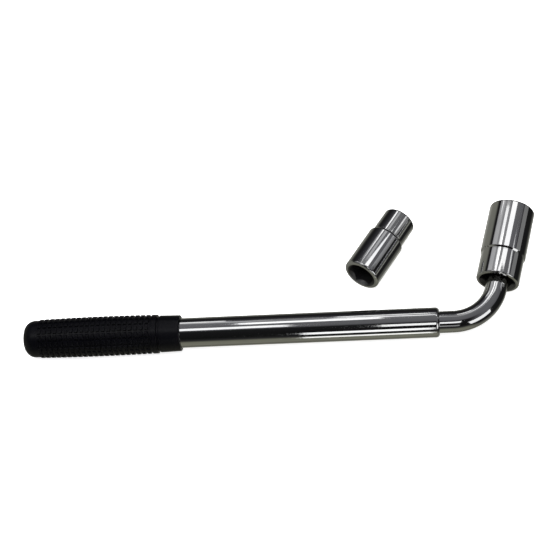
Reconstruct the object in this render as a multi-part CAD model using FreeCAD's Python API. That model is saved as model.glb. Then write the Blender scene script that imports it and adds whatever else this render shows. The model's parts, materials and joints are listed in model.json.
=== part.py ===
"""Telescopic lug wrench with two double-ended sockets, lying on a table as it comes to rest.

A round rod slides and swivels in a chromed handle tube with a rubber grip. The rod's outer end is
bent into a short leg that carries a half-inch square drive. One socket is fitted on the drive and
the spare socket lies behind the handle.

Every piece of the wrench is drawn in the handle frame: +X along the handle from the grip's closed
end to the bend, the leg in the XY plane towards +Y, and the handle's axis at Y = Z = 0. The pieces
are then turned into the pose in which the wrench rests on a table, and moved so that the origin is
the bottom centre of the whole object's box. Lengths are in millimetres and angles in degrees.
"""
import FreeCAD
import Part
import math
import os

# Handle tube
TUBE_DIAMETER = 22.0
TUBE_BORE = 17.0
TUBE_START = 5.0
TUBE_END = 306.0
MOUTH_ROUNDING = 2.6
NECK_BORE = 16.12
NECK_BORE_LENGTH = 5.0
CLICK_GROOVE_WIDTH = 3.0
CLICK_GROOVE_DEPTH = 0.5

# Rubber grip
GRIP_LENGTH = 117.0
GRIP_CAP_DIAMETER = 27.3
GRIP_END_ROUNDING = 8.0
BLOCKS_START = 12.0
BLOCKS_MIDDLE = 56.0
BLOCKS_END = 96.0
BLOCKS_START_DIAMETER = 28.5
BLOCKS_MIDDLE_DIAMETER = 29.6
BLOCKS_END_DIAMETER = 28.7
BLOCK_PITCH = 4.0
BLOCK_GROOVE_WIDTH = 1.6
BLOCK_GROOVE_DEPTH = 1.0
GRIP_RING_END = 100.0
RING_DIAMETER = 28.7
RING_GROOVE_WIDTH = 1.6
RING_GROOVE_DEPTH = 1.5
COLLAR_START_DIAMETER = 27.3
COLLAR_END_DIAMETER = 26.5
COLLAR_ROUNDING = 0.9

# Sliding rod, its bend and its leg
ROD_DIAMETER = 16.0
ROD_TRAVEL = 180.0
BEND_START = 316.0
BEND_RADIUS = 32.8
BEND_ANGLE = 76.2
LEG_VISIBLE = 5.7
JOURNAL_START = 66.0
JOURNAL_DIAMETER = 12.0
TAIL_CHAMFER = 1.0

# Half-inch square drive
SQUARE_HOLE = 12.7
SQUARE_DRIVE = 12.5
SQUARE_DRIVE_LENGTH = 16.0
SQUARE_CHAMFER = 1.0

# Guide sleeve and tail collar on the rod's journal
RUNNING_CLEARANCE = 0.06
END_PLAY = 0.1
SLEEVE_LENGTH = 32.0
COLLAR_LENGTH = 16.0
COLLAR_PIN_DIAMETER = 3.0
COLLAR_PIN_FROM_TAIL = 5.0
PIN_FIT = 0.02
CLICK_BALL_FROM_TAIL = 11.5

# Balls and springs
BALL_DIAMETER = 4.0
BALL_POCKET_CLEARANCE = 0.05
BALL_STANDS_PROUD = 0.05
SPRING_DIAMETER = 3.4
SPRING_WIRE = 0.5
SPRING_END_GAP = 0.05
CLICK_POCKET_DEPTH = 7.6
CLICK_SPRING_TURNS = 4
DRIVE_POCKET_DEPTH = 9.5
DRIVE_BALL_FROM_SHOULDER = 8.0
DRIVE_SPRING_TURNS = 5

# Both sockets
HEX_ENTRY_DEPTH = 3.0
HEX_ENTRY_RELIEF = 0.35
STEP_GROOVE_WIDTH = 0.8
STEP_GROOVE_DEPTH = 0.15
DIMPLE_DIAMETER = 4.6
DIMPLE_OFFSET = 0.5

# Fitted socket, 23 mm on the rod's side and 21 mm on the working side
FITTED_NEAR_HEX = 23.0
FITTED_FAR_HEX = 21.0
FITTED_NEAR_DIAMETER = 31.6
FITTED_FAR_DIAMETER = 33.4
FITTED_NEAR_LENGTH = 21.0
FITTED_LENGTH = 61.0
FITTED_NEAR_HEX_DEPTH = 20.0
FITTED_FAR_HEX_DEPTH = 22.0
FITTED_ROUNDING = 1.2
FITTED_STEP = 1.2

# Spare socket, 19 mm in its thick end and 17 mm in its thin end
SPARE_THICK_HEX = 19.0
SPARE_THIN_HEX = 17.0
SPARE_THICK_DIAMETER = 28.2
SPARE_THIN_DIAMETER = 25.0
SPARE_THICK_LENGTH = 37.0
SPARE_LENGTH = 59.0
SPARE_THICK_HEX_DEPTH = 20.0
SPARE_THIN_HEX_DEPTH = 19.0
SPARE_ROUNDING = 1.5
SPARE_STEP = 1.5
SPARE_MOUTH_X = 249.7
SPARE_MOUTH_Y = 43.9
SPARE_HEADING = 59.6

# Directions
X_AXIS = FreeCAD.Vector(1, 0, 0)
Y_AXIS = FreeCAD.Vector(0, 1, 0)
Z_AXIS = FreeCAD.Vector(0, 0, 1)

# Places along the handle that follow from the sizes above
JOURNAL_END = TUBE_END - NECK_BORE_LENGTH - ROD_TRAVEL
SLEEVE_START = JOURNAL_END - END_PLAY - SLEEVE_LENGTH
TAIL_COLLAR_START = SLEEVE_START - END_PLAY - COLLAR_LENGTH
COLLAR_PIN_X = TAIL_COLLAR_START + COLLAR_PIN_FROM_TAIL
CLICK_BALL_X = TAIL_COLLAR_START + CLICK_BALL_FROM_TAIL
SLIDER_RADIUS = TUBE_BORE / 2 - RUNNING_CLEARANCE


def point(x, y=0.0, z=0.0):
    return FreeCAD.Vector(x, y, z)


def cylinder(radius, start, end):
    """A round bar on the X axis between two places."""
    return Part.makeCylinder(radius, end - start, point(start), X_AXIS)


def upright_cylinder(radius, x, bottom, top):
    """A round bar that stands along Z through the X axis."""
    return Part.makeCylinder(radius, top - bottom, point(x, 0.0, bottom), Z_AXIS)


def turned(edges):
    """A solid of revolution about the X axis from the edges of a closed outline."""
    face = Part.Face(Part.Wire(Part.__sortEdges__(edges)))
    return face.revolve(point(0.0), X_AXIS, 360)


def lines(corners):
    """Straight edges through (place along X, radius) corners."""
    points = [point(x, radius) for x, radius in corners]
    return [Part.makeLine(a, b) for a, b in zip(points, points[1:])]


def quarter_arc(start, end, centre):
    """A quarter of a circle between two (place along X, radius) corners."""
    radius = math.dist(start, centre)
    middle_x = (start[0] + end[0]) / 2 - centre[0]
    middle_y = (start[1] + end[1]) / 2 - centre[1]
    stretch = radius / math.hypot(middle_x, middle_y)
    middle = point(centre[0] + middle_x * stretch, centre[1] + middle_y * stretch)
    return Part.Arc(point(*start), middle, point(*end)).toShape()


def prism_along_x(corner_points, start, length):
    """A straight prism along X whose section is given by (y, z) corners."""
    corners = [point(start, y, z) for y, z in corner_points]
    face = Part.Face(Part.makePolygon(corners + corners[:1]))
    return face.extrude(point(length))


def hexagon(across_flats, start, length):
    """A hexagonal prism with a flat on top."""
    corner_radius = across_flats / math.sqrt(3)
    angles = [math.radians(60 * step) for step in range(6)]
    corners = [(corner_radius * math.cos(a), corner_radius * math.sin(a)) for a in angles]
    return prism_along_x(corners, start, length)


def square(across_flats, start, length):
    """A square prism with a flat on top."""
    half = across_flats / 2
    return prism_along_x([(half, half), (-half, half), (-half, -half), (half, -half)], start, length)


def handle_tube():
    """The tube, rounded in at its mouth to a neck that guides the rod and stops the sleeve."""
    outer = TUBE_DIAMETER / 2
    side_end = (TUBE_END - MOUTH_ROUNDING, outer)
    lip = (TUBE_END, outer - MOUTH_ROUNDING)
    edges = lines([(TUBE_START, 0.0), (TUBE_START, outer), side_end])
    edges.append(quarter_arc(side_end, lip, (TUBE_END - MOUTH_ROUNDING, outer - MOUTH_ROUNDING)))
    edges += lines([lip, (TUBE_END, 0.0), (TUBE_START, 0.0)])
    body = turned(edges)
    body = body.cut(cylinder(TUBE_BORE / 2, TUBE_START, TUBE_END - NECK_BORE_LENGTH))
    body = body.cut(cylinder(NECK_BORE / 2, TUBE_START, TUBE_END))
    groove_radius = TUBE_BORE / 2 + CLICK_GROOVE_DEPTH
    for middle in (CLICK_BALL_X, CLICK_BALL_X + ROD_TRAVEL):
        start = middle - CLICK_GROOVE_WIDTH / 2
        body = body.cut(cylinder(groove_radius, start, start + CLICK_GROOVE_WIDTH))
    return body


def barrel_radius(x):
    """Radius over the blocks, which swells gently towards the middle of the grip."""
    if x < BLOCKS_MIDDLE:
        end_diameter = BLOCKS_START_DIAMETER
        part_way = (BLOCKS_MIDDLE - x) / (BLOCKS_MIDDLE - BLOCKS_START)
    else:
        end_diameter = BLOCKS_END_DIAMETER
        part_way = (x - BLOCKS_MIDDLE) / (BLOCKS_END - BLOCKS_MIDDLE)
    return (BLOCKS_MIDDLE_DIAMETER - (BLOCKS_MIDDLE_DIAMETER - end_diameter) * part_way ** 2) / 2


def block_row_corners():
    """Outline of the ribs that carry the blocks, from the cap to the plain ring."""
    corners = []
    rows = round((BLOCKS_END - BLOCKS_START) / BLOCK_PITCH)
    for row in range(rows):
        start = BLOCKS_START + row * BLOCK_PITCH
        end = start + BLOCK_PITCH - BLOCK_GROOVE_WIDTH
        next_start = start + BLOCK_PITCH
        corners.append((start, barrel_radius(start)))
        corners.append((end, barrel_radius(end)))
        corners.append((end, barrel_radius(end) - BLOCK_GROOVE_DEPTH))
        corners.append((next_start, barrel_radius(next_start) - BLOCK_GROOVE_DEPTH))
    return corners


def rubber_grip():
    """The sleeve: closed rounded end, ribbed barrel, plain ring, groove and collar."""
    cap = GRIP_CAP_DIAMETER / 2
    ring = RING_DIAMETER / 2
    collar_start = COLLAR_START_DIAMETER / 2
    collar_end = COLLAR_END_DIAMETER / 2
    shoulder = (GRIP_END_ROUNDING, cap)
    lip = (GRIP_LENGTH - COLLAR_ROUNDING, collar_end)
    lip_face = (GRIP_LENGTH, collar_end - COLLAR_ROUNDING)
    groove_end = GRIP_RING_END + RING_GROOVE_WIDTH
    end_face = (0.0, cap - GRIP_END_ROUNDING)
    edges = lines([(0.0, 0.0), end_face])
    edges.append(quarter_arc(end_face, shoulder, (GRIP_END_ROUNDING, cap - GRIP_END_ROUNDING)))
    edges += lines([
        shoulder,
        (BLOCKS_START, cap),
        *block_row_corners(),
        (BLOCKS_END, ring),
        (GRIP_RING_END, ring),
        (GRIP_RING_END, ring - RING_GROOVE_DEPTH),
        (groove_end, ring - RING_GROOVE_DEPTH),
        (groove_end, collar_start),
        lip,
    ])
    edges.append(quarter_arc(lip, lip_face, (GRIP_LENGTH - COLLAR_ROUNDING, collar_end - COLLAR_ROUNDING)))
    edges += lines([lip_face, (GRIP_LENGTH, 0.0), (0.0, 0.0)])
    return turned(edges).cut(cylinder(TUBE_DIAMETER / 2, TUBE_START, GRIP_LENGTH))


def leg_placement():
    """Moves a piece drawn along X from the fitted socket's near face onto the leg."""
    angle = math.radians(BEND_ANGLE)
    x = BEND_START + BEND_RADIUS * math.sin(angle) + LEG_VISIBLE * math.cos(angle)
    y = BEND_RADIUS * (1 - math.cos(angle)) + LEG_VISIBLE * math.sin(angle)
    return FreeCAD.Placement(point(x, y), FreeCAD.Rotation(Z_AXIS, BEND_ANGLE))


def on_leg(shape):
    """A copy of a piece, placed on the leg."""
    placed = shape.copy()
    placed.Placement = leg_placement().multiply(placed.Placement)
    return placed


def ball_pocket(x, depth, surface):
    """A blind hole from a surface above the X axis down to the given depth."""
    radius = BALL_DIAMETER / 2 + BALL_POCKET_CLEARANCE
    return upright_cylinder(radius, x, surface - depth, surface + BALL_DIAMETER)


def drive_end():
    """The square drive with corners trimmed to the rod's round, a chamfered tip and a ball pocket."""
    start = FITTED_NEAR_HEX_DEPTH - END_PLAY
    end = start + SQUARE_DRIVE_LENGTH
    radius = ROD_DIAMETER / 2
    tip = turned(lines([
        (start, 0.0),
        (start, radius),
        (end - SQUARE_CHAMFER, radius),
        (end, radius - 2 * SQUARE_CHAMFER),
        (end, 0.0),
        (start, 0.0),
    ]))
    drive = tip.common(square(SQUARE_DRIVE, start, SQUARE_DRIVE_LENGTH))
    pocket = ball_pocket(start + DRIVE_BALL_FROM_SHOULDER, DRIVE_POCKET_DEPTH, SQUARE_DRIVE / 2)
    return drive.cut(pocket)


def wrench_rod():
    """The rod in one piece: journal, round bar, bend, leg and square drive."""
    radius = ROD_DIAMETER / 2
    journal_radius = JOURNAL_DIAMETER / 2
    bar = turned(lines([
        (JOURNAL_START, 0.0),
        (JOURNAL_START, journal_radius - TAIL_CHAMFER),
        (JOURNAL_START + TAIL_CHAMFER, journal_radius),
        (JOURNAL_END, journal_radius),
        (JOURNAL_END, radius),
        (BEND_START, radius),
        (BEND_START, 0.0),
        (JOURNAL_START, 0.0),
    ]))
    bar = bar.cut(collar_pin_hole())
    bar = bar.cut(ball_pocket(CLICK_BALL_X, CLICK_POCKET_DEPTH, SLIDER_RADIUS))
    circle = Part.makeCircle(radius, point(BEND_START), X_AXIS)
    section = Part.Face(Part.Wire(circle))
    bend = section.revolve(point(BEND_START, BEND_RADIUS), Z_AXIS, BEND_ANGLE)
    leg = on_leg(cylinder(radius, -LEG_VISIBLE, FITTED_NEAR_HEX_DEPTH - END_PLAY))
    return bar.fuse([bend, leg, on_leg(drive_end())]).removeSplitter()


def collar_pin_hole():
    """The cross hole for the pin that holds the tail collar on the rod."""
    radius = COLLAR_PIN_DIAMETER / 2 + PIN_FIT
    start = point(COLLAR_PIN_X, -TUBE_DIAMETER)
    return Part.makeCylinder(radius, 2 * TUBE_DIAMETER, start, Y_AXIS)


def tail_collar():
    """The steel collar on the rod's tail, which keeps the sleeve on and carries the click ball."""
    bore = JOURNAL_DIAMETER / 2 + PIN_FIT
    body = cylinder(SLIDER_RADIUS, TAIL_COLLAR_START, TAIL_COLLAR_START + COLLAR_LENGTH)
    body = body.cut(cylinder(bore, TAIL_COLLAR_START, TAIL_COLLAR_START + COLLAR_LENGTH))
    body = body.cut(collar_pin_hole())
    return body.cut(ball_pocket(CLICK_BALL_X, CLICK_POCKET_DEPTH, SLIDER_RADIUS))


def tail_collar_pin():
    """The pin through the collar and the rod, just shorter than the collar is wide."""
    half = SLIDER_RADIUS - 4 * RUNNING_CLEARANCE
    return Part.makeCylinder(COLLAR_PIN_DIAMETER / 2, 2 * half, point(COLLAR_PIN_X, -half), Y_AXIS)


def guide_sleeve():
    """The sleeve on the rod's journal, which slides in the tube while the rod turns in it."""
    body = cylinder(SLIDER_RADIUS, SLEEVE_START, SLEEVE_START + SLEEVE_LENGTH)
    bore = JOURNAL_DIAMETER / 2 + RUNNING_CLEARANCE
    return body.cut(cylinder(bore, SLEEVE_START, SLEEVE_START + SLEEVE_LENGTH))


def ball(x, top):
    """A ball whose highest point is at the given height above the X axis."""
    radius = BALL_DIAMETER / 2
    return Part.makeSphere(radius, point(x, 0.0, top - radius))


def spring(x, bottom, top, turns):
    """A coil spring that stands along Z through the X axis, between two heights."""
    wire = SPRING_WIRE / 2
    low = bottom + wire + SPRING_END_GAP
    height = top - wire - SPRING_END_GAP - low
    coil_radius = SPRING_DIAMETER / 2 - wire
    path = Part.makeHelix(height / turns, height, coil_radius)
    section = Part.Wire(Part.makeCircle(wire, point(coil_radius), Y_AXIS))
    coil = Part.Wire(path.Edges).makePipeShell([section], True, True)
    coil.translate(point(x, 0.0, low))
    return coil


def click_ball():
    return ball(CLICK_BALL_X, SLIDER_RADIUS + BALL_STANDS_PROUD / 2)


def click_spring():
    bottom = SLIDER_RADIUS - CLICK_POCKET_DEPTH
    top = SLIDER_RADIUS + BALL_STANDS_PROUD / 2 - BALL_DIAMETER
    return spring(CLICK_BALL_X, bottom, top, CLICK_SPRING_TURNS)


def drive_ball_x():
    return FITTED_NEAR_HEX_DEPTH - END_PLAY + DRIVE_BALL_FROM_SHOULDER


def drive_ball():
    return on_leg(ball(drive_ball_x(), SQUARE_DRIVE / 2 + BALL_STANDS_PROUD))


def drive_spring():
    bottom = SQUARE_DRIVE / 2 - DRIVE_POCKET_DEPTH
    top = SQUARE_DRIVE / 2 + BALL_STANDS_PROUD - BALL_DIAMETER
    return on_leg(spring(drive_ball_x(), bottom, top, DRIVE_SPRING_TURNS))


def socket_outside(near_radius, far_radius, near_length, length, step, rounding):
    """The turned outside of a socket, with a fine groove where the two diameters meet."""
    step_start = near_length
    step_end = near_length + step
    thin = min(near_radius, far_radius)
    near_corner = (0.0, near_radius - rounding)
    near_side = (rounding, near_radius)
    far_side = (length - rounding, far_radius)
    far_corner = (length, far_radius - rounding)
    if near_radius < far_radius:
        groove = (step_start - STEP_GROOVE_WIDTH, step_start)
    else:
        groove = (step_end, step_end + STEP_GROOVE_WIDTH)
    edges = lines([(0.0, 0.0), near_corner])
    edges.append(quarter_arc(near_corner, near_side, (rounding, near_radius - rounding)))
    edges += lines([near_side, (step_start, near_radius), (step_end, far_radius), far_side])
    edges.append(quarter_arc(far_side, far_corner, (length - rounding, far_radius - rounding)))
    edges += lines([far_corner, (length, 0.0), (0.0, 0.0)])
    body = turned(edges)
    ring = cylinder(thin + step, *groove).cut(cylinder(thin - STEP_GROOVE_DEPTH, *groove))
    return body.cut(ring)


def hex_mouth(across_flats, depth, face, inward):
    """The cutter for a hexagonal mouth with a conical entry; inward is +1 or -1 along X."""
    mouth_radius = across_flats / math.sqrt(3) + HEX_ENTRY_RELIEF
    flat_radius = across_flats / 2
    inner = face + inward * depth
    entry = face + inward * HEX_ENTRY_DEPTH
    mouth = hexagon(across_flats, min(face, inner), depth)
    cone = turned(lines([
        (face, 0.0),
        (face, mouth_radius),
        (entry, flat_radius),
        (entry, 0.0),
        (face, 0.0),
    ]))
    return mouth.fuse(cone)


def square_hole(start, end):
    """The cutter for the square hole through a socket's web, with a dimple in each flat."""
    hole = square(SQUARE_HOLE, start, end - start)
    centre = SQUARE_DRIVE / 2 + BALL_STANDS_PROUD - BALL_DIAMETER / 2 + DIMPLE_OFFSET
    for quarter in range(4):
        dimple = Part.makeSphere(DIMPLE_DIAMETER / 2, point(0.0, 0.0, centre))
        dimple.rotate(point(0.0), X_AXIS, 90 * quarter)
        dimple.translate(point(start + DRIVE_BALL_FROM_SHOULDER))
        hole = hole.fuse(dimple)
    return hole


def fitted_socket():
    """The 21 and 23 mm socket, seated on the drive with its 23 mm end round the rod."""
    body = socket_outside(FITTED_NEAR_DIAMETER / 2, FITTED_FAR_DIAMETER / 2, FITTED_NEAR_LENGTH,
                          FITTED_LENGTH, FITTED_STEP, FITTED_ROUNDING)
    body = body.cut(hex_mouth(FITTED_NEAR_HEX, FITTED_NEAR_HEX_DEPTH, 0.0, 1))
    body = body.cut(hex_mouth(FITTED_FAR_HEX, FITTED_FAR_HEX_DEPTH, FITTED_LENGTH, -1))
    body = body.cut(square_hole(FITTED_NEAR_HEX_DEPTH, FITTED_LENGTH - FITTED_FAR_HEX_DEPTH))
    return on_leg(body)


def spare_socket():
    """The 17 and 19 mm socket, lying on the table with its thick end towards the handle."""
    body = socket_outside(SPARE_THICK_DIAMETER / 2, SPARE_THIN_DIAMETER / 2, SPARE_THICK_LENGTH,
                          SPARE_LENGTH, SPARE_STEP, SPARE_ROUNDING)
    body = body.cut(hex_mouth(SPARE_THICK_HEX, SPARE_THICK_HEX_DEPTH, 0.0, 1))
    body = body.cut(hex_mouth(SPARE_THIN_HEX, SPARE_THIN_HEX_DEPTH, SPARE_LENGTH, -1))
    return body.cut(square_hole(SPARE_THICK_HEX_DEPTH, SPARE_LENGTH - SPARE_THIN_HEX_DEPTH))


def handle_pitch():
    """The handle dips towards its mouth until the grip's last ring and the tube both touch."""
    drop = (RING_DIAMETER - TUBE_DIAMETER) / 2
    return math.atan2(drop, TUBE_END - MOUTH_ROUNDING - GRIP_RING_END)


def table_height():
    """Height of the table under the handle frame's origin once the handle is pitched."""
    pitch = handle_pitch()
    return -(GRIP_RING_END * math.sin(pitch) + RING_DIAMETER / 2 * math.cos(pitch))


def rim_height(roll):
    """Height above the table of the fitted socket's lowest rim, for a roll of the leg."""
    pitch = handle_pitch()
    angle = math.radians(BEND_ANGLE)
    rim = leg_placement().multVec(point(FITTED_ROUNDING))
    rise = -rim.x * math.sin(pitch) + rim.y * math.sin(roll) * math.cos(pitch)
    axis_rise = -math.cos(angle) * math.sin(pitch) + math.sin(angle) * math.sin(roll) * math.cos(pitch)
    reach = FITTED_NEAR_DIAMETER / 2 * math.sqrt(1 - axis_rise ** 2)
    return rise - reach - table_height()


def leg_roll():
    """The roll about the handle that sets the fitted socket's near rim down on the table."""
    low, high = 0.0, math.radians(45)
    while high - low > 1e-9:
        middle = (low + high) / 2
        if rim_height(middle) < 0.0:
            low = middle
        else:
            high = middle
    return high


def handle_pose():
    """Placement of the handle, and of all that only slides in it, on the table."""
    lift = point(0.0, 0.0, -table_height())
    return FreeCAD.Placement(lift, FreeCAD.Rotation(Y_AXIS, math.degrees(handle_pitch())))


def rod_pose():
    """Placement of the rod and what it carries: the handle's, with the leg rolled up."""
    roll = FreeCAD.Rotation(X_AXIS, math.degrees(leg_roll()))
    return handle_pose().multiply(FreeCAD.Placement(point(0.0), roll))


def spare_pose():
    """Placement of the spare socket, level on the table."""
    place = point(SPARE_MOUTH_X, SPARE_MOUTH_Y, SPARE_THICK_DIAMETER / 2)
    return FreeCAD.Placement(place, FreeCAD.Rotation(Z_AXIS, SPARE_HEADING))


def posed(shape, pose):
    """A copy of a piece in its place on the table."""
    placed = shape.copy()
    placed.Placement = pose.multiply(placed.Placement)
    return placed


def pieces_on_the_table():
    """Every piece by name, posed on the table but not yet moved to the object's origin."""
    handle = handle_pose()
    rod = rod_pose()
    return {
        "rubber_grip": posed(rubber_grip(), handle),
        "handle_tube": posed(handle_tube(), handle),
        "guide_sleeve": posed(guide_sleeve(), handle),
        "wrench_rod": posed(wrench_rod(), rod),
        "tail_collar": posed(tail_collar(), rod),
        "tail_collar_pin": posed(tail_collar_pin(), rod),
        "click_ball": posed(click_ball(), rod),
        "click_spring": posed(click_spring(), rod),
        "drive_ball": posed(drive_ball(), rod),
        "drive_spring": posed(drive_spring(), rod),
        "fitted_socket_21_23": posed(fitted_socket(), rod),
        "spare_socket_17_19": posed(spare_socket(), spare_pose()),
    }


def shift_to_origin(shapes):
    """The move that puts the bottom centre of all the pieces' box at the origin."""
    box = Part.makeCompound(list(shapes)).optimalBoundingBox()
    return point(-box.Center.x, -box.Center.y, -box.ZMin)


def main():
    os.makedirs("parts", exist_ok=True)
    pieces = pieces_on_the_table()
    shift = shift_to_origin(pieces.values())
    for name, shape in pieces.items():
        shape.translate(shift)
        shape.exportStep(os.path.join("parts", name + ".step"))
        print(name, "valid", shape.isValid(), "solids", len(shape.Solids),
              "volume %.1f" % shape.Volume)


main()
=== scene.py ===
"""The looks of a telescopic lug wrench and its spare socket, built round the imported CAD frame.

Every visible piece is drawn in its own frame, in millimetres along X, and then placed in metres where
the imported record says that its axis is. Angles round X start at +Y and turn towards +Z.
"""
import json
import math

import bmesh
import bpy
from mathutils import Matrix, Vector


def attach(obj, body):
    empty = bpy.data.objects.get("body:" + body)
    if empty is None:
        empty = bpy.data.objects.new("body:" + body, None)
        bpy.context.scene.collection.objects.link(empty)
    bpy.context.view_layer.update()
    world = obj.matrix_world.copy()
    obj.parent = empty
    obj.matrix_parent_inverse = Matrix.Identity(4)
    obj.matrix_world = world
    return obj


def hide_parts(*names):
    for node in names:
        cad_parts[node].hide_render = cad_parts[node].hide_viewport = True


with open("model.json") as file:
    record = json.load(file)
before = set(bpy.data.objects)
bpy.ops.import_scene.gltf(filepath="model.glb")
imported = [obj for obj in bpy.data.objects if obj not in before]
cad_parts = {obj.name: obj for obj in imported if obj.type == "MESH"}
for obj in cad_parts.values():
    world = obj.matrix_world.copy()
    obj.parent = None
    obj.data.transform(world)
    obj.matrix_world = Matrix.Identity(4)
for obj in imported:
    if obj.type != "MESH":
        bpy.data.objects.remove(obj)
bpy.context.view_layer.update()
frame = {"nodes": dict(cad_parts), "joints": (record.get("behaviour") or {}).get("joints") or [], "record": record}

MM = 0.001
TAU = 2 * math.pi

# Handle tube
TUBE_DIAMETER = 22.0
TUBE_BORE = 17.0
TUBE_START = 5.0
TUBE_END = 306.0
MOUTH_ROUNDING = 2.6
NECK_BORE = 16.12
NECK_BORE_LENGTH = 5.0
TUBE_TAIL_ROUNDING = 0.2
NECK_BORE_ROUNDING = 0.1

# Rubber grip
GRIP_LENGTH = 117.0
GRIP_CAP_DIAMETER = 27.3
GRIP_END_ROUNDING = 8.0
BLOCKS_START = 12.0
BLOCKS_MIDDLE = 56.0
BLOCKS_END = 96.0
BLOCKS_START_DIAMETER = 28.5
BLOCKS_MIDDLE_DIAMETER = 29.6
BLOCKS_END_DIAMETER = 28.7
BLOCK_PITCH = 4.0
BLOCK_ROWS = 18
BLOCK_ROWS_TURN = math.radians(14.0)
BLOCK_GROOVE_WIDTH = 1.6
BLOCK_GROOVE_DEPTH = 1.0
BLOCK_FLOOR_SHARE = 0.75
BLOCK_SLOPE_SHARE = 0.5
GRIP_RING_END = 100.0
RING_DIAMETER = 28.7
RING_GROOVE_WIDTH = 1.6
RING_GROOVE_DEPTH = 1.5
COLLAR_START_DIAMETER = 27.3
COLLAR_END_DIAMETER = 26.5
COLLAR_ROUNDING = 0.9
RING_ROUNDING = 0.3
RING_GROOVE_ROUNDING = 0.2
COLLAR_START_ROUNDING = 0.4
GRIP_BORE_ROUNDING = 0.3

# Sliding rod, its bend and its leg
ROD_DIAMETER = 16.0
ROD_TRAVEL = 180.0
BEND_START = 316.0
BEND_RADIUS = 32.8
BEND_ANGLE = math.radians(76.2)
LEG_VISIBLE = 5.7
JOURNAL_START = 66.0
JOURNAL_END = TUBE_END - NECK_BORE_LENGTH - ROD_TRAVEL
JOURNAL_DIAMETER = 12.0
JOURNAL_TAIL_ROUNDING = 1.0
JOURNAL_SHOULDER_ROUNDING = 0.3
SQUARE_HOLE = 12.7
SQUARE_DRIVE = 12.5
SQUARE_DRIVE_LENGTH = 16.0
DRIVE_CORNER_RADIUS = 7.8
DRIVE_CHAMFER_RADIUS = 7.6
DRIVE_TIP_RADIUS = 6.3
DRIVE_END_RADIUS = 6.0
DRIVE_ROOT_LENGTH = 0.3
DRIVE_CHAMFER_START = 1.2
DRIVE_CHAMFER_END = 0.2
DRIVE_CHAMFER_SOFTENING = 0.3
SHOULDER_ROUNDING = 0.4
SEAT_GAP = 0.1

# Both sockets
HEX_ENTRY_DEPTH = 3.0
HEX_ENTRY_RELIEF = 0.35
HEX_ENTRY_EDGE = 0.15
HEX_FIRST_FLAT = math.radians(30.0)
STEP_GROOVE_WIDTH = 0.8
STEP_GROOVE_DEPTH = 0.15
STEP_ROUNDING = 0.1
FACE_LAND = 2 * HEX_ENTRY_EDGE

# Fitted socket
FITTED_NEAR_HEX = 23.0
FITTED_FAR_HEX = 21.0
FITTED_NEAR_DIAMETER = 31.6
FITTED_FAR_DIAMETER = 33.4
FITTED_NEAR_LENGTH = 21.0
FITTED_LENGTH = 61.0
FITTED_NEAR_HEX_DEPTH = 20.0
FITTED_FAR_HEX_DEPTH = 22.0
FITTED_ROUNDING = 1.2
FITTED_STEP = 1.2
FITTED_SHOULDER_ROUNDING = 0.4

# Spare socket
SPARE_THICK_HEX = 19.0
SPARE_THIN_HEX = 17.0
SPARE_THICK_DIAMETER = 28.2
SPARE_THIN_DIAMETER = 25.0
SPARE_THICK_LENGTH = 37.0
SPARE_LENGTH = 59.0
SPARE_THICK_HEX_DEPTH = 20.0
SPARE_THIN_HEX_DEPTH = 19.0
SPARE_ROUNDING = 1.5
SPARE_STEP = 1.5
SPARE_SHOULDER_ROUNDING = 2.0
SPARE_MOUNT_DEPTH = 5.0

# Camera, in metres and degrees
CAMERA_TARGET = Vector((-0.0017, 0.0021, 0.014))
CAMERA_HEADING = 10.06
CAMERA_ELEVATION = 52.24
CAMERA_ROLL = -11.13
CAMERA_DISTANCE = 1.2088
CAMERA_LENS = 104.4

# Mesh fineness
RING_POINTS = 144
GRIP_POINTS_PER_ROW = 14
ROUNDING_STEPS = 6
ENTRY_STEPS = 4
BEND_STEPS = 36
WALL_SHARES = (0.0, 0.3, 0.6, 0.99, 1.0)
HOLDING_EDGE = 0.05
SHARP_ANGLE = math.radians(30.0)


# ---------------------------------------------------------------- places from the record

def record_mount(name):
    """The record's mount of that name."""
    return next(m for m in frame["record"]["mounts"] if m["name"] == name)


def record_axis(name):
    """The direction of the record's joint of that name."""
    return Vector(next(j for j in frame["joints"] if j["name"] == name)["axis"])


def place(origin, along, up):
    """The placement of a piece drawn in millimetres along X, with Z near the given up."""
    x = along.normalized()
    y = up.cross(x).normalized()
    z = x.cross(y)
    turn = Matrix((x, y, z)).transposed().to_4x4()
    return Matrix.Translation(origin) @ turn @ Matrix.Scale(MM, 4)


def handle_place():
    """The handle frame, from the middle of the grip and the way the rod slides out."""
    along = record_axis("handle_extend")
    middle = Vector(record_mount("grip_hold")["pos_m"])
    return place(middle - along * GRIP_LENGTH / 2 * MM, along, Vector((0, 0, 1)))


def rod_place():
    """The handle frame, rolled about its own axis so that the leg lies in its XY plane."""
    start = handle_place().translation
    return place(start, record_axis("handle_extend"), -record_axis("drive_ball_press"))


def leg_place():
    """The leg frame: X along the leg from the fitted socket's near face."""
    start = Vector(record_mount("hex_23mm")["pos_m"])
    return place(start, record_axis("fitted_socket_pull_off"), -record_axis("drive_ball_press"))


def bend_place():
    """The frame at the middle of the bend: X along the rod there, Y towards the bend's inside."""
    half = BEND_ANGLE / 2
    x = BEND_START + BEND_RADIUS * math.sin(half)
    y = BEND_RADIUS * (1 - math.cos(half))
    middle = Vector((x, y, 0.0))
    return rod_place() @ Matrix.Translation(middle) @ Matrix.Rotation(half, 4, "Z")


def spare_place():
    """The spare socket's frame: X from its thick end's face towards its thin end."""
    mount = record_mount("hex_19mm")
    along = -Vector(mount["axis"])
    face = Vector(mount["pos_m"]) - along * SPARE_MOUNT_DEPTH * MM
    return place(face, along, Vector((0, 0, 1)))


# ---------------------------------------------------------------- meshes

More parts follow.
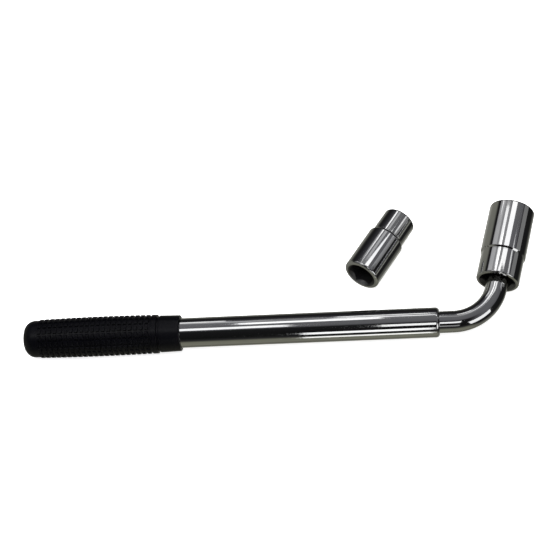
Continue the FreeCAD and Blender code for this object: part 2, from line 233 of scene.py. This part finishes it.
def rounded(corners, closed=False):
    """Points along an outline whose (place, radius, rounding) corners are rounded by arcs."""
    flat = [Vector((x, r)) for x, r, _ in corners]
    last = len(corners) - 1
    points = []
    for k, corner in enumerate(flat):
        rounding = corners[k][2]
        ends_here = not closed and k in (0, last)
        if ends_here:
            points.append(corner)
            continue
        back = flat[k - 1] - corner
        on = flat[(k + 1) % len(flat)] - corner
        hold = min(HOLDING_EDGE, back.length / 3, on.length / 3)
        back.normalize()
        on.normalize()
        half = back.angle(on) / 2
        cut = rounding / math.tan(half)
        points.append(corner + back * (cut + hold))
        if rounding > 0:
            centre = corner + (back + on).normalized() * rounding / math.sin(half)
            start = corner + back * cut - centre
            end = corner + on * cut - centre
            for step in range(ROUNDING_STEPS + 1):
                spoke = start.lerp(end, step / ROUNDING_STEPS)
                points.append(centre + spoke.normalized() * rounding)
        else:
            points.append(corner)
        points.append(corner + on * (cut + hold))
    return points


def circle(x, radius, count=RING_POINTS):
    """A ring of points about X."""
    angles = [TAU * k / count for k in range(count)]
    return [Vector((x, radius * math.cos(a), radius * math.sin(a))) for a in angles]


def swept(x_at, radius_at, count=RING_POINTS):
    """A ring about X whose place and radius are functions of the angle."""
    ring = []
    for k in range(count):
        angle = TAU * k / count
        radius = radius_at(angle)
        ring.append(Vector((x_at(angle), radius * math.cos(angle), radius * math.sin(angle))))
    return ring


def polar(x, radius_at, count=RING_POINTS):
    """A ring at one place along X whose radius is a function of the angle."""
    return swept(lambda angle: x, radius_at, count)


def flat_sided(across_flats, sides, first_flat):
    """Radius at an angle of a regular section with that many flats."""
    def radius_at(angle):
        share = TAU / sides
        from_flat = (angle - first_flat + share / 2) % share - share / 2
        return across_flats / 2 / math.cos(from_flat)
    return radius_at


def loft(name, rings, placement, loop=False):
    """A closed skin through the rings, placed in the row frame and shaded smooth."""
    mesh_data = bmesh.new()
    rows = [[mesh_data.verts.new(point) for point in ring] for ring in rings]
    pairs = list(zip(rows, rows[1:]))
    if loop:
        pairs.append((rows[-1], rows[0]))
    for first, second in pairs:
        for k in range(len(first)):
            n = (k + 1) % len(first)
            mesh_data.faces.new((first[k], first[n], second[n], second[k]))
    bmesh.ops.remove_doubles(mesh_data, verts=mesh_data.verts, dist=1e-5)
    bmesh.ops.recalc_face_normals(mesh_data, faces=mesh_data.faces)
    mesh = bpy.data.meshes.new(name)
    mesh_data.to_mesh(mesh)
    mesh_data.free()
    mesh.transform(placement)
    mesh.shade_smooth()
    mesh.set_sharp_from_angle(angle=SHARP_ANGLE)
    piece = bpy.data.objects.new(name, mesh)
    bpy.context.scene.collection.objects.link(piece)
    return piece


def stand_in(piece, node, body, material):
    """Shows a piece in place of a CAD node, riding on that node's body."""
    piece.data.materials.append(material)
    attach(piece, body)
    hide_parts(node)


# ---------------------------------------------------------------- pieces

def barrel_radius(x):
    """Radius over the blocks, which swells gently towards the middle of the grip."""
    if x < BLOCKS_MIDDLE:
        end_diameter = BLOCKS_START_DIAMETER
        part_way = (BLOCKS_MIDDLE - x) / (BLOCKS_MIDDLE - BLOCKS_START)
    else:
        end_diameter = BLOCKS_END_DIAMETER
        part_way = (x - BLOCKS_MIDDLE) / (BLOCKS_END - BLOCKS_MIDDLE)
    return (BLOCKS_MIDDLE_DIAMETER - (BLOCKS_MIDDLE_DIAMETER - end_diameter) * part_way ** 2) / 2


def smooth_step(value):
    """A soft step from 0 to 1, level at both ends."""
    value = min(max(value, 0.0), 1.0)
    return value * value * (3 - 2 * value)


def groove_share(distance):
    """How deep a groove is at a distance from its middle: 1 on its floor, 0 on the block."""
    half = BLOCK_GROOVE_WIDTH / 2
    return 1.0 - smooth_step((distance - half * BLOCK_FLOOR_SHARE) / (half * BLOCK_SLOPE_SHARE))


def block_surface(x):
    """Radius over the blocks at a place along the grip, as a function of the angle."""
    along = (x - BLOCKS_START) % BLOCK_PITCH
    groove_middle = BLOCK_PITCH - BLOCK_GROOVE_WIDTH / 2
    across_groove = groove_share(abs(along - groove_middle))
    crown = barrel_radius(x)

    def radius_at(angle):
        share = TAU / BLOCK_ROWS
        from_groove = (angle - BLOCK_ROWS_TURN + share / 2) % share - share / 2
        along_groove = groove_share(abs(from_groove) * crown)
        return crown - BLOCK_GROOVE_DEPTH * max(across_groove, along_groove)
    return radius_at


def grip_rings():
    """The grip from its closed end, over the blocks, ring, groove and collar, to the bore's floor."""
    count = BLOCK_ROWS * GRIP_POINTS_PER_ROW
    cap = GRIP_CAP_DIAMETER / 2
    ring = RING_DIAMETER / 2
    bore = TUBE_DIAMETER / 2
    groove_end = GRIP_RING_END + RING_GROOVE_WIDTH
    end = rounded([(0.0, 0.0, 0.0), (0.0, cap, GRIP_END_ROUNDING), (BLOCKS_START, cap, 0.0)])
    rings = [circle(x, radius, count) for x, radius in end]
    rows = round((BLOCKS_END - BLOCKS_START) / BLOCK_PITCH)
    steps = rows * GRIP_POINTS_PER_ROW
    for step in range(1, steps + 1):
        x = BLOCKS_START + (BLOCKS_END - BLOCKS_START) * step / steps
        rings.append(polar(x, block_surface(x), count))
    tail = rounded([
        (BLOCKS_END, ring - BLOCK_GROOVE_DEPTH, 0.0),
        (BLOCKS_END, ring, RING_ROUNDING),
        (GRIP_RING_END, ring, RING_ROUNDING),
        (GRIP_RING_END, ring - RING_GROOVE_DEPTH, RING_GROOVE_ROUNDING),
        (groove_end, ring - RING_GROOVE_DEPTH, RING_GROOVE_ROUNDING),
        (groove_end, COLLAR_START_DIAMETER / 2, COLLAR_START_ROUNDING),
        (GRIP_LENGTH, COLLAR_END_DIAMETER / 2, COLLAR_ROUNDING),
        (GRIP_LENGTH, bore, GRIP_BORE_ROUNDING),
        (TUBE_START, bore, 0.0),
        (TUBE_START, 0.0, 0.0),
    ])
    rings += [circle(x, radius, count) for x, radius in tail]
    return rings


def make_grip():
    """The rubber grip, with its blocks cut both ways."""
    piece = loft("grip_with_blocks", grip_rings(), handle_place())
    stand_in(piece, "rubber_grip", "handle", grip_rubber())


def make_tube():
    """The chromed outer tube, rounded in to the neck's bore at its mouth."""
    bore_end = TUBE_END - NECK_BORE_LENGTH
    outline = rounded([
        (TUBE_START, TUBE_DIAMETER / 2, TUBE_TAIL_ROUNDING),
        (TUBE_END, TUBE_DIAMETER / 2, MOUTH_ROUNDING),
        (TUBE_END, NECK_BORE / 2, NECK_BORE_ROUNDING),
        (bore_end, NECK_BORE / 2, 0.0),
        (bore_end, TUBE_BORE / 2, 0.0),
        (TUBE_START, TUBE_BORE / 2, TUBE_TAIL_ROUNDING),
    ], closed=True)
    rings = [circle(x, radius) for x, radius in outline]
    piece = loft("chromed_tube", rings, handle_place(), loop=True)
    stand_in(piece, "handle_tube", "handle", chrome("tube_chrome"))


def leg_turn():
    """From the leg frame to the handle frame rolled with the rod, in millimetres."""
    x = BEND_START + BEND_RADIUS * math.sin(BEND_ANGLE) + LEG_VISIBLE * math.cos(BEND_ANGLE)
    y = BEND_RADIUS * (1 - math.cos(BEND_ANGLE)) + LEG_VISIBLE * math.sin(BEND_ANGLE)
    return Matrix.Translation((x, y, 0.0)) @ Matrix.Rotation(BEND_ANGLE, 4, "Z")


def bend_rings():
    """The rod's round section, carried round the bend."""
    rings = []
    pivot = Vector((BEND_START, BEND_RADIUS, 0.0))
    ring = circle(BEND_START, ROD_DIAMETER / 2)
    for step in range(1, BEND_STEPS):
        turn = Matrix.Rotation(BEND_ANGLE * step / BEND_STEPS, 4, "Z")
        rings.append([turn @ (point - pivot) + pivot for point in ring])
    return rings


def drive_rings(start):
    """The square drive from the leg's shoulder, its corners trimmed round and its tip chamfered."""
    end = start + SQUARE_DRIVE_LENGTH
    chamfer_start = end - DRIVE_CHAMFER_START
    square = flat_sided(SQUARE_DRIVE, 4, 0.0)
    rings = []
    for x, limit in (
        (start, ROD_DIAMETER / 2),
        (start + DRIVE_ROOT_LENGTH, DRIVE_CORNER_RADIUS),
        (chamfer_start, DRIVE_CORNER_RADIUS),
        (chamfer_start + DRIVE_CHAMFER_SOFTENING, DRIVE_CHAMFER_RADIUS),
        (end - DRIVE_CHAMFER_END, DRIVE_TIP_RADIUS),
        (end, DRIVE_END_RADIUS),
    ):
        rings.append(polar(x, lambda angle: min(square(angle), limit)))
    rings.append(circle(end, 0.0))
    return rings


def make_rod():
    """The rod as one skin: journal, bar, bend, leg and square drive."""
    radius = ROD_DIAMETER / 2
    journal = JOURNAL_DIAMETER / 2
    bar = rounded([
        (JOURNAL_START, 0.0, 0.0),
        (JOURNAL_START, journal, JOURNAL_TAIL_ROUNDING),
        (JOURNAL_END, journal, JOURNAL_SHOULDER_ROUNDING),
        (JOURNAL_END, radius, JOURNAL_SHOULDER_ROUNDING),
        (BEND_START, radius, 0.0),
    ])
    shoulder = FITTED_NEAR_HEX_DEPTH - SEAT_GAP
    leg = rounded([
        (-LEG_VISIBLE, radius, 0.0),
        (shoulder, radius, SHOULDER_ROUNDING),
        (shoulder, DRIVE_TIP_RADIUS, 0.0),
    ])
    rings = [circle(x, r) for x, r in bar]
    rings += bend_rings()
    turn = leg_turn()
    for ring in [circle(x, r) for x, r in leg[:-1]] + drive_rings(shoulder):
        rings.append([turn @ point for point in ring])
    piece = loft("bent_rod", rings, rod_place())
    stand_in(piece, "wrench_rod", "rod", chrome("rod_chrome"))


def mouth_radius(across_flats):
    """Radius of the round edge of a mouth's conical entry."""
    return across_flats / math.sqrt(3) + HEX_ENTRY_RELIEF


def mouth_rings(across_flats, depth, face, inward):
    """A hexagonal mouth from its round edge, down its cone and its flats, to its floor.

    The cone's foot is deeper at the flats than at the corners, which scallops its lower edge.
    """
    hexagon = flat_sided(across_flats, 6, HEX_FIRST_FLAT)
    edge = mouth_radius(across_flats)
    slope = (edge - across_flats / 2) / HEX_ENTRY_DEPTH

    def foot(angle):
        return (edge - hexagon(angle)) / slope

    def cone_ring(share):
        """A ring that share of the way down the cone to its foot."""
        return swept(lambda angle: face + inward * share * foot(angle),
                     lambda angle: edge - share * foot(angle) * slope)

    def wall_ring(share):
        """A ring that share of the way down the wall, from just below the cone's foot to the floor."""
        def depth_at(angle):
            top = foot(angle) + HOLDING_EDGE
            return top + share * (depth - top)
        return swept(lambda angle: face + inward * depth_at(angle), hexagon)

    rings = [circle(face, edge + HEX_ENTRY_EDGE), circle(face, edge)]
    rings += [cone_ring(step / ENTRY_STEPS) for step in range(1, ENTRY_STEPS + 1)]
    rings += [wall_ring(share) for share in WALL_SHARES]
    return rings


def socket_rings(outside, near_mouth, far_mouth, length):
    """A double-ended socket: turned outside, two hexagonal mouths and a square hole between them."""
    near_hex, near_depth = near_mouth
    far_hex, far_depth = far_mouth
    square = flat_sided(SQUARE_HOLE, 4, 0.0)
    rings = [circle(x, radius) for x, radius in outside]
    far = mouth_rings(far_hex, far_depth, length, -1)
    near = mouth_rings(near_hex, near_depth, 0.0, 1)
    web = [polar(x, square) for x in (length - far_depth, near_depth)]
    return rings + far + web + near[::-1]


def fitted_outside():
    """The fitted socket's outline, stepping up from its near end to its far end."""
    near = FITTED_NEAR_DIAMETER / 2
    far = FITTED_FAR_DIAMETER / 2
    groove_start = FITTED_NEAR_LENGTH - STEP_GROOVE_WIDTH
    groove_floor = near - STEP_GROOVE_DEPTH
    face_near = mouth_radius(FITTED_NEAR_HEX) + FACE_LAND
    face_far = mouth_radius(FITTED_FAR_HEX) + FACE_LAND
    return rounded([
        (0.0, face_near, 0.0),
        (0.0, near, FITTED_ROUNDING),
        (groove_start, near, STEP_ROUNDING),
        (groove_start, groove_floor, STEP_ROUNDING),
        (FITTED_NEAR_LENGTH, groove_floor, STEP_ROUNDING),
        (FITTED_NEAR_LENGTH + FITTED_STEP, far, FITTED_SHOULDER_ROUNDING),
        (FITTED_LENGTH, far, FITTED_ROUNDING),
        (FITTED_LENGTH, face_far, 0.0),
    ])


def spare_outside():
    """The spare socket's outline, stepping down from its thick end to its thin end."""
    thick = SPARE_THICK_DIAMETER / 2
    thin = SPARE_THIN_DIAMETER / 2
    step_end = SPARE_THICK_LENGTH + SPARE_STEP
    groove_end = step_end + STEP_GROOVE_WIDTH
    groove_floor = thin - STEP_GROOVE_DEPTH
    face_near = mouth_radius(SPARE_THICK_HEX) + FACE_LAND
    face_far = mouth_radius(SPARE_THIN_HEX) + FACE_LAND
    return rounded([
        (0.0, face_near, 0.0),
        (0.0, thick, SPARE_ROUNDING),
        (SPARE_THICK_LENGTH, thick, SPARE_SHOULDER_ROUNDING),
        (step_end, groove_floor, STEP_ROUNDING),
        (groove_end, groove_floor, STEP_ROUNDING),
        (groove_end, thin, STEP_ROUNDING),
        (SPARE_LENGTH, thin, SPARE_ROUNDING),
        (SPARE_LENGTH, face_far, 0.0),
    ])


def dull_and_shade_inside(piece, placement, near_hex, far_hex, length, material):
    """Gives a socket's broached inside, in from the edges of its mouths, a duller material whose darker base
    colour is painted shade in the mouths' hollows.
    """
    piece.data.materials.append(material)
    to_piece = placement.inverted()
    for face in piece.data.polygons:
        centre = to_piece @ face.center
        edge = mouth_radius(near_hex if centre.x < length / 2 else far_hex)
        if math.hypot(centre.y, centre.z) < edge:
            face.material_index = 1


def make_sockets():
    """Both sockets, bright outside, and inside duller and darkened with painted shade."""
    finish = chrome("socket_chrome")
    # The inside's dark base colours are painted shade in the mouths; its higher roughness is the duller broached
    # finish.
    inside = steel("socket_inside_painted_shade", (0.24, 0.24, 0.24), (0.17, 0.17, 0.172), 0.45)
    fitted = socket_rings(fitted_outside(), (FITTED_NEAR_HEX, FITTED_NEAR_HEX_DEPTH),
                          (FITTED_FAR_HEX, FITTED_FAR_HEX_DEPTH), FITTED_LENGTH)
    piece = loft("socket_21_23", fitted, leg_place(), loop=True)
    stand_in(piece, "fitted_socket_21_23", "fitted_socket", finish)
    dull_and_shade_inside(piece, leg_place(), FITTED_NEAR_HEX, FITTED_FAR_HEX, FITTED_LENGTH, inside)
    spare = socket_rings(spare_outside(), (SPARE_THICK_HEX, SPARE_THICK_HEX_DEPTH),
                         (SPARE_THIN_HEX, SPARE_THIN_HEX_DEPTH), SPARE_LENGTH)
    piece = loft("socket_17_19", spare, spare_place(), loop=True)
    stand_in(piece, "spare_socket_17_19", "spare_socket", finish)
    dull_and_shade_inside(piece, spare_place(), SPARE_THICK_HEX, SPARE_THIN_HEX, SPARE_LENGTH, inside)


# ---------------------------------------------------------------- materials

def new_material(name):
    """A material with an emptied node tree, its output and its main shader."""
    material = bpy.data.materials.new(name)
    material.use_nodes = True
    nodes = material.node_tree.nodes
    nodes.clear()
    output = nodes.new("ShaderNodeOutputMaterial")
    shader = nodes.new("ShaderNodeBsdfPrincipled")
    material.node_tree.links.new(shader.outputs["BSDF"], output.inputs["Surface"])
    return material, shader


def object_noise(material, scale, detail=4.0, stretch=(1.0, 1.0, 1.0)):
    """Noise fixed to the object, at so many waves per metre."""
    nodes = material.node_tree.nodes
    links = material.node_tree.links
    coordinates = nodes.new("ShaderNodeTexCoord")
    mapping = nodes.new("ShaderNodeMapping")
    mapping.inputs["Scale"].default_value = stretch
    noise = nodes.new("ShaderNodeTexNoise")
    noise.inputs["Scale"].default_value = scale
    noise.inputs["Detail"].default_value = detail
    links.new(coordinates.outputs["Object"], mapping.inputs["Vector"])
    links.new(mapping.outputs["Vector"], noise.inputs["Vector"])
    return noise.outputs["Fac"]


def ranged(material, value, low, high, from_low=0.3, from_high=0.7):
    """A value carried from one range to another."""
    node = material.node_tree.nodes.new("ShaderNodeMapRange")
    node.inputs["From Min"].default_value = from_low
    node.inputs["From Max"].default_value = from_high
    node.inputs["To Min"].default_value = low
    node.inputs["To Max"].default_value = high
    material.node_tree.links.new(value, node.inputs["Value"])
    return node.outputs["Result"]


def blended(material, value, first, second):
    """A colour between two, by a value from 0 to 1."""
    node = material.node_tree.nodes.new("ShaderNodeMix")
    node.data_type = "RGBA"
    node.inputs["A"].default_value = (*first, 1.0)
    node.inputs["B"].default_value = (*second, 1.0)
    material.node_tree.links.new(value, node.inputs["Factor"])
    return node.outputs["Result"]


def bumped(material, shader, height, strength, distance):
    """Gives a shader a bump that is a distance in metres high."""
    node = material.node_tree.nodes.new("ShaderNodeBump")
    node.inputs["Strength"].default_value = strength
    node.inputs["Distance"].default_value = distance
    links = material.node_tree.links
    links.new(height, node.inputs["Height"])
    links.new(node.outputs["Normal"], shader.inputs["Normal"])


def chrome(name):
    """Bright chrome plate: a faint orange peel, fine haze in patches and a little tint."""
    material, shader = new_material(name)
    links = material.node_tree.links
    patches = ranged(material, object_noise(material, 45.0), 0.0, 1.0)
    haze = ranged(material, object_noise(material, 900.0), 0.035, 0.075)
    tint = blended(material, patches, (0.64, 0.64, 0.635), (0.57, 0.575, 0.585))
    shader.inputs["Metallic"].default_value = 1.0
    links.new(tint, shader.inputs["Base Color"])
    links.new(haze, shader.inputs["Roughness"])
    bumped(material, shader, object_noise(material, 260.0, 2.0), 0.25, 0.00002)
    return material


def grip_rubber():
    """Near-black moulded rubber with a fine matt grain; its base colour is tinted blue as a painted reflection of
    the bluish room overhead.
    """
    material, shader = new_material("grip_rubber")
    links = material.node_tree.links
    patches = ranged(material, object_noise(material, 60.0), 0.0, 1.0)
    grain = object_noise(material, 2600.0, 3.0)
    # The blue in both base colours is a painted reflection of the bluish room overhead; the patches between them
    # are random.
    tint = blended(material, patches, (0.0008, 0.0008, 0.0016), (0.0016, 0.0016, 0.0028))
    links.new(tint, shader.inputs["Base Color"])
    links.new(ranged(material, grain, 0.3, 0.44), shader.inputs["Roughness"])
    shader.inputs["Specular IOR Level"].default_value = 0.22
    bumped(material, shader, grain, 0.4, 0.00006)
    return material


def steel(name, base, worn, roughness):
    """Turned steel, with fine marks and slightly uneven colour."""
    material, shader = new_material(name)
    links = material.node_tree.links
    marks = object_noise(material, 1500.0, 3.0, (0.2, 1.0, 1.0))
    tint = blended(material, ranged(material, marks, 0.0, 1.0), base, worn)
    links.new(tint, shader.inputs["Base Color"])
    links.new(ranged(material, marks, roughness * 0.8, roughness * 1.3), shader.inputs["Roughness"])
    shader.inputs["Metallic"].default_value = 1.0
    bumped(material, shader, marks, 0.2, 0.00002)
    return material


def sleeve_plastic():
    """Natural acetal, milky and faintly mottled."""
    material, shader = new_material("sleeve_plastic")
    links = material.node_tree.links
    mottle = ranged(material, object_noise(material, 300.0), 0.0, 1.0)
    tint = blended(material, mottle, (0.80, 0.79, 0.74), (0.72, 0.71, 0.66))
    links.new(tint, shader.inputs["Base Color"])
    links.new(ranged(material, mottle, 0.35, 0.45), shader.inputs["Roughness"])
    shader.inputs["Subsurface Weight"].default_value = 0.05
    shader.inputs["Subsurface Scale"].default_value = 0.001
    return material


def finish_inner_nodes():
    """Finishes for the hidden CAD pieces that show only when the wrench is taken apart."""
    plain = steel("plain_steel", (0.45, 0.45, 0.46), (0.36, 0.36, 0.37), 0.32)
    bearing = steel("bearing_steel", (0.62, 0.62, 0.64), (0.55, 0.55, 0.57), 0.12)
    spring = steel("spring_steel", (0.35, 0.35, 0.37), (0.27, 0.27, 0.29), 0.3)
    finishes = {
        "guide_sleeve": sleeve_plastic(),
        "tail_collar": plain,
        "tail_collar_pin": plain,
        "click_ball": bearing,
        "drive_ball": bearing,
        "click_spring": spring,
        "drive_spring": spring,
    }
    for node, material in finishes.items():
        for slot in frame["nodes"][node].material_slots:
            slot.material = material


# ---------------------------------------------------------------- studio

# Tones of the room by the turn about X: 0 level in front, 90 overhead, 180 level behind, and below
# zero downwards.
ROOM_TONES = (
    (-180.0, (0.034, 0.034, 0.033)),
    (-160.0, (0.26, 0.26, 0.23)),
    (-112.0, (0.60, 0.60, 0.55)),
    (-97.0, (0.38, 0.38, 0.33)),
    (-82.0, (0.12, 0.12, 0.10)),
    (-58.0, (0.25, 0.25, 0.20)),
    (-30.0, (0.23, 0.23, 0.18)),
    (-13.0, (0.03, 0.03, 0.03)),
    (5.0, (0.008, 0.008, 0.008)),
    (58.0, (0.014, 0.014, 0.015)),
    (70.0, (0.15, 0.15, 0.16)),
    (118.0, (0.20, 0.20, 0.21)),
    (128.0, (0.18, 0.18, 0.19)),
    (140.0, (0.05, 0.05, 0.055)),
    (150.0, (0.025, 0.025, 0.028)),
    (168.0, (0.012, 0.012, 0.012)),
    (179.0, (0.034, 0.034, 0.034)),
)

# Tones far round to the right, by height: -1 straight down, 0 level, 1 overhead.
RIGHT_TONES = (
    (-1.0, (0.26, 0.26, 0.23)),
    (-0.75, (0.16, 0.16, 0.14)),
    (-0.6, (0.09, 0.09, 0.08)),
    (-0.48, (0.015, 0.015, 0.015)),
    (0.4, (0.012, 0.012, 0.013)),
    (0.5, (0.14, 0.14, 0.15)),
    (1.0, (0.20, 0.20, 0.21)),
)
RIGHT_BLEND = (0.35, 0.6)

# Tones far round to the left, by height.
LEFT_TONES = (
    (-1.0, (0.26, 0.26, 0.23)),
    (0.2, (0.22, 0.22, 0.19)),
    (0.3, (0.10, 0.10, 0.09)),
    (0.37, (0.015, 0.015, 0.015)),
    (0.49, (0.012, 0.012, 0.013)),
    (0.53, (0.17, 0.17, 0.18)),
    (1.0, (0.20, 0.20, 0.21)),
)
LEFT_BLEND = (-0.52, -0.64)

# Soft light panels, each beside one piece: the turn about that piece's axis in degrees, the two ends
# along the axis, the distance from it and the width in millimetres, and the brightness.
HANDLE_PANELS = {
    "overhead_left": (77.0, -600.0, 90.0, 1200.0, 330.0, 1.45),
    "overhead_middle": (107.0, 15.0, 225.0, 1200.0, 300.0, 1.6),
    "behind_left": (137.0, 20.0, 75.0, 600.0, 105.0, 1.0),
    "behind_right": (132.0, 160.0, 300.0, 1200.0, 125.0, 1.4),
    "behind_right_veil": (124.0, 160.0, 300.0, 1200.0, 260.0, 0.15),
    "front_low": (8.5, 110.0, 300.0, 1200.0, 330.0, 1.7),
    "front_low_end": (10.0, 300.0, 520.0, 1200.0, 260.0, 0.35),
    "front_high": (45.5, 225.0, 520.0, 1200.0, 320.0, 1.5),
    "front_floor": (-26.0, 110.0, 300.0, 1200.0, 250.0, 1.5),
}
BEND_PANELS = {
    "bend_outer": (19.5, -250.0, 560.0, 1200.0, 640.0, 1.4),
}
LEG_PANELS = {
    "leg_right": (13.5, 235.0, 370.0, 500.0, 222.0, 0.24),
    "leg_above": (79.0, 258.0, 370.0, 500.0, 212.0, 1.4),
    "leg_above_bend": (89.0, 215.0, 258.0, 500.0, 120.0, 1.2),
    "leg_veil": (121.0, 235.0, 370.0, 520.0, 560.0, 0.17),
    "leg_upper_left": (110.5, 258.0, 330.0, 500.0, 123.0, 1.1),
    "leg_left": (140.0, 235.0, 370.0, 500.0, 210.0, 0.22),
}
SPARE_PANELS = {
    "spare_right": (35.0, 580.0, 690.0, 1000.0, 390.0, 0.25),
    "spare_right_end": (42.5, 645.0, 690.0, 1000.0, 160.0, 0.8),
    "spare_above": (95.0, 580.0, 690.0, 1000.0, 240.0, 0.4),
    "spare_left": (121.0, 580.0, 635.0, 1000.0, 140.0, 0.3),
}
KEY_POWER = 50.0
KEY_SIZE = 2.0
KEY_HEIGHT = 1.8
FLOOR_HALF = 4.0


def make_panels(panels, beside):
    """Panels that the chrome and the rubber's gloss see, facing the axis of the piece they are beside."""
    axes = beside.to_3x3().normalized()
    for name, (turn, start, end, distance, width, brightness) in panels.items():
        light = bpy.data.lights.new(name, "AREA")
        light.shape = "RECTANGLE"
        light.size = (end - start) * MM
        light.size_y = width * MM
        light.energy = brightness * math.pi * light.size * light.size_y
        panel = bpy.data.objects.new(name, light)
        angle = math.radians(turn)
        away = axes @ Vector((0.0, -math.cos(angle), math.sin(angle)))
        middle = beside @ Vector(((start + end) / 2, 0.0, 0.0))
        panel.location = middle + away * distance * MM
        side = axes @ Vector((1.0, 0.0, 0.0))
        panel.rotation_euler = Matrix((side, away.cross(side), away)).transposed().to_euler()
        panel.visible_camera = False
        panel.visible_diffuse = False
        bpy.context.scene.collection.objects.link(panel)


def make_key():
    """A large soft overhead light for the floor and the rubber, unseen in the chrome."""
    light = bpy.data.lights.new("key", "AREA")
    light.size = KEY_SIZE
    light.energy = KEY_POWER
    key = bpy.data.objects.new("key", light)
    key.location = (0.0, 0.0, KEY_HEIGHT)
    key.visible_camera = False
    key.visible_glossy = False
    bpy.context.scene.collection.objects.link(key)


def toned(tree, value, low, high, tones):
    """A colour from a list of (value, tone) steps, for a value between two limits."""
    share = tree.nodes.new("ShaderNodeMapRange")
    share.inputs["From Min"].default_value = low
    share.inputs["From Max"].default_value = high
    ramp_node = tree.nodes.new("ShaderNodeValToRGB")
    ramp = ramp_node.color_ramp
    while len(ramp.elements) < len(tones):
        ramp.elements.new(0.5)
    for element, (step, tone) in zip(ramp.elements, tones):
        element.position = (step - low) / (high - low)
        element.color = (*tone, 1.0)
    tree.links.new(value, share.inputs["Value"])
    tree.links.new(share.outputs["Result"], ramp_node.inputs["Fac"])
    return ramp_node.outputs["Color"]


def calculated(tree, operation, *values):
    """The result of a calculation on one or two values."""
    node = tree.nodes.new("ShaderNodeMath")
    node.operation = operation
    for value, socket in zip(values, node.inputs):
        tree.links.new(value, socket)
    return node.outputs["Value"]


def sided(tree, direction, tones, side_tones, blend):
    """The room's tones, giving way to a side's own tones by height as the direction nears that side."""
    how_far = tree.nodes.new("ShaderNodeMapRange")
    how_far.inputs["From Min"].default_value = blend[0]
    how_far.inputs["From Max"].default_value = blend[1]
    tree.links.new(direction.outputs["X"], how_far.inputs["Value"])
    by_height = toned(tree, direction.outputs["Z"], -1.0, 1.0, side_tones)
    mixed = tree.nodes.new("ShaderNodeMixRGB")
    tree.links.new(how_far.outputs["Result"], mixed.inputs["Fac"])
    tree.links.new(tones, mixed.inputs["Color1"])
    tree.links.new(by_height, mixed.inputs["Color2"])
    return mixed.outputs["Color"]


def make_room():
    """The world: a pale backdrop to the camera, and the room's tones to everything else."""
    world = bpy.data.worlds.new("room")
    bpy.context.scene.world = world
    world.use_nodes = True
    tree = world.node_tree
    tree.nodes.clear()
    links = tree.links
    coordinates = tree.nodes.new("ShaderNodeTexCoord")
    parts = tree.nodes.new("ShaderNodeSeparateXYZ")
    links.new(coordinates.outputs["Generated"], parts.inputs["Vector"])
    front = calculated(tree, "MULTIPLY", parts.outputs["Y"])
    front.node.inputs[1].default_value = -1.0
    turn = calculated(tree, "ARCTAN2", parts.outputs["Z"], front)
    tones = toned(tree, calculated(tree, "DEGREES", turn), -180.0, 180.0, ROOM_TONES)
    tones = sided(tree, parts, tones, RIGHT_TONES, RIGHT_BLEND)
    tones = sided(tree, parts, tones, LEFT_TONES, LEFT_BLEND)
    room = tree.nodes.new("ShaderNodeBackground")
    links.new(tones, room.inputs["Color"])
    backdrop = tree.nodes.new("ShaderNodeBackground")
    backdrop.inputs["Color"].default_value = (1.0, 1.0, 1.0, 1.0)
    rays = tree.nodes.new("ShaderNodeLightPath")
    either = tree.nodes.new("ShaderNodeMixShader")
    output = tree.nodes.new("ShaderNodeOutputWorld")
    links.new(rays.outputs["Is Camera Ray"], either.inputs["Fac"])
    links.new(room.outputs["Background"], either.inputs[1])
    links.new(backdrop.outputs["Background"], either.inputs[2])
    links.new(either.outputs["Shader"], output.inputs["Surface"])


def make_floor():
    """A plain pale floor, left out of the chrome, which sees the room's darker floor tone."""
    mesh = bpy.data.meshes.new("floor")
    half = FLOOR_HALF
    corners = [(-half, -half, 0), (half, -half, 0), (half, half, 0), (-half, half, 0)]
    mesh.from_pydata(corners, [], [(0, 1, 2, 3)])
    floor = bpy.data.objects.new("floor", mesh)
    bpy.context.scene.collection.objects.link(floor)
    material, shader = new_material("pale_floor")
    mottle = ranged(material, object_noise(material, 30.0), 0.0, 1.0)
    tint = blended(material, mottle, (0.90, 0.90, 0.90), (0.88, 0.88, 0.88))
    material.node_tree.links.new(tint, shader.inputs["Base Color"])
    shader.inputs["Roughness"].default_value = 0.8
    shader.inputs["Emission Color"].default_value = (1.0, 1.0, 1.0, 1.0)
    shader.inputs["Emission Strength"].default_value = 0.9
    mesh.materials.append(material)
    floor.visible_glossy = False


def make_camera():
    """The camera at the viewing angle of the reference."""
    data = bpy.data.cameras.new("camera")
    data.lens = CAMERA_LENS
    data.clip_start = 0.05
    data.clip_end = 50.0
    camera = bpy.data.objects.new("camera", data)
    heading = math.radians(CAMERA_HEADING)
    elevation = math.radians(CAMERA_ELEVATION)
    back = Vector((math.sin(heading) * math.cos(elevation), -math.cos(heading) * math.cos(elevation),
                   math.sin(elevation)))
    level = Vector((math.cos(heading), math.sin(heading), 0.0))
    right = Matrix.Rotation(math.radians(CAMERA_ROLL), 3, back) @ level
    turn = Matrix((right, back.cross(right), back)).transposed()
    camera.matrix_world = Matrix.Translation(CAMERA_TARGET + back * CAMERA_DISTANCE) @ turn.to_4x4()
    bpy.context.scene.collection.objects.link(camera)
    bpy.context.scene.camera = camera


make_camera()
make_grip()
make_tube()
make_rod()
make_sockets()
finish_inner_nodes()
make_room()
make_panels(HANDLE_PANELS, handle_place())
make_panels(BEND_PANELS, bend_place())
make_panels(LEG_PANELS, leg_place())
make_panels(SPARE_PANELS, spare_place())
make_key()
make_floor()
bpy.context.scene.view_settings.view_transform = "Standard"
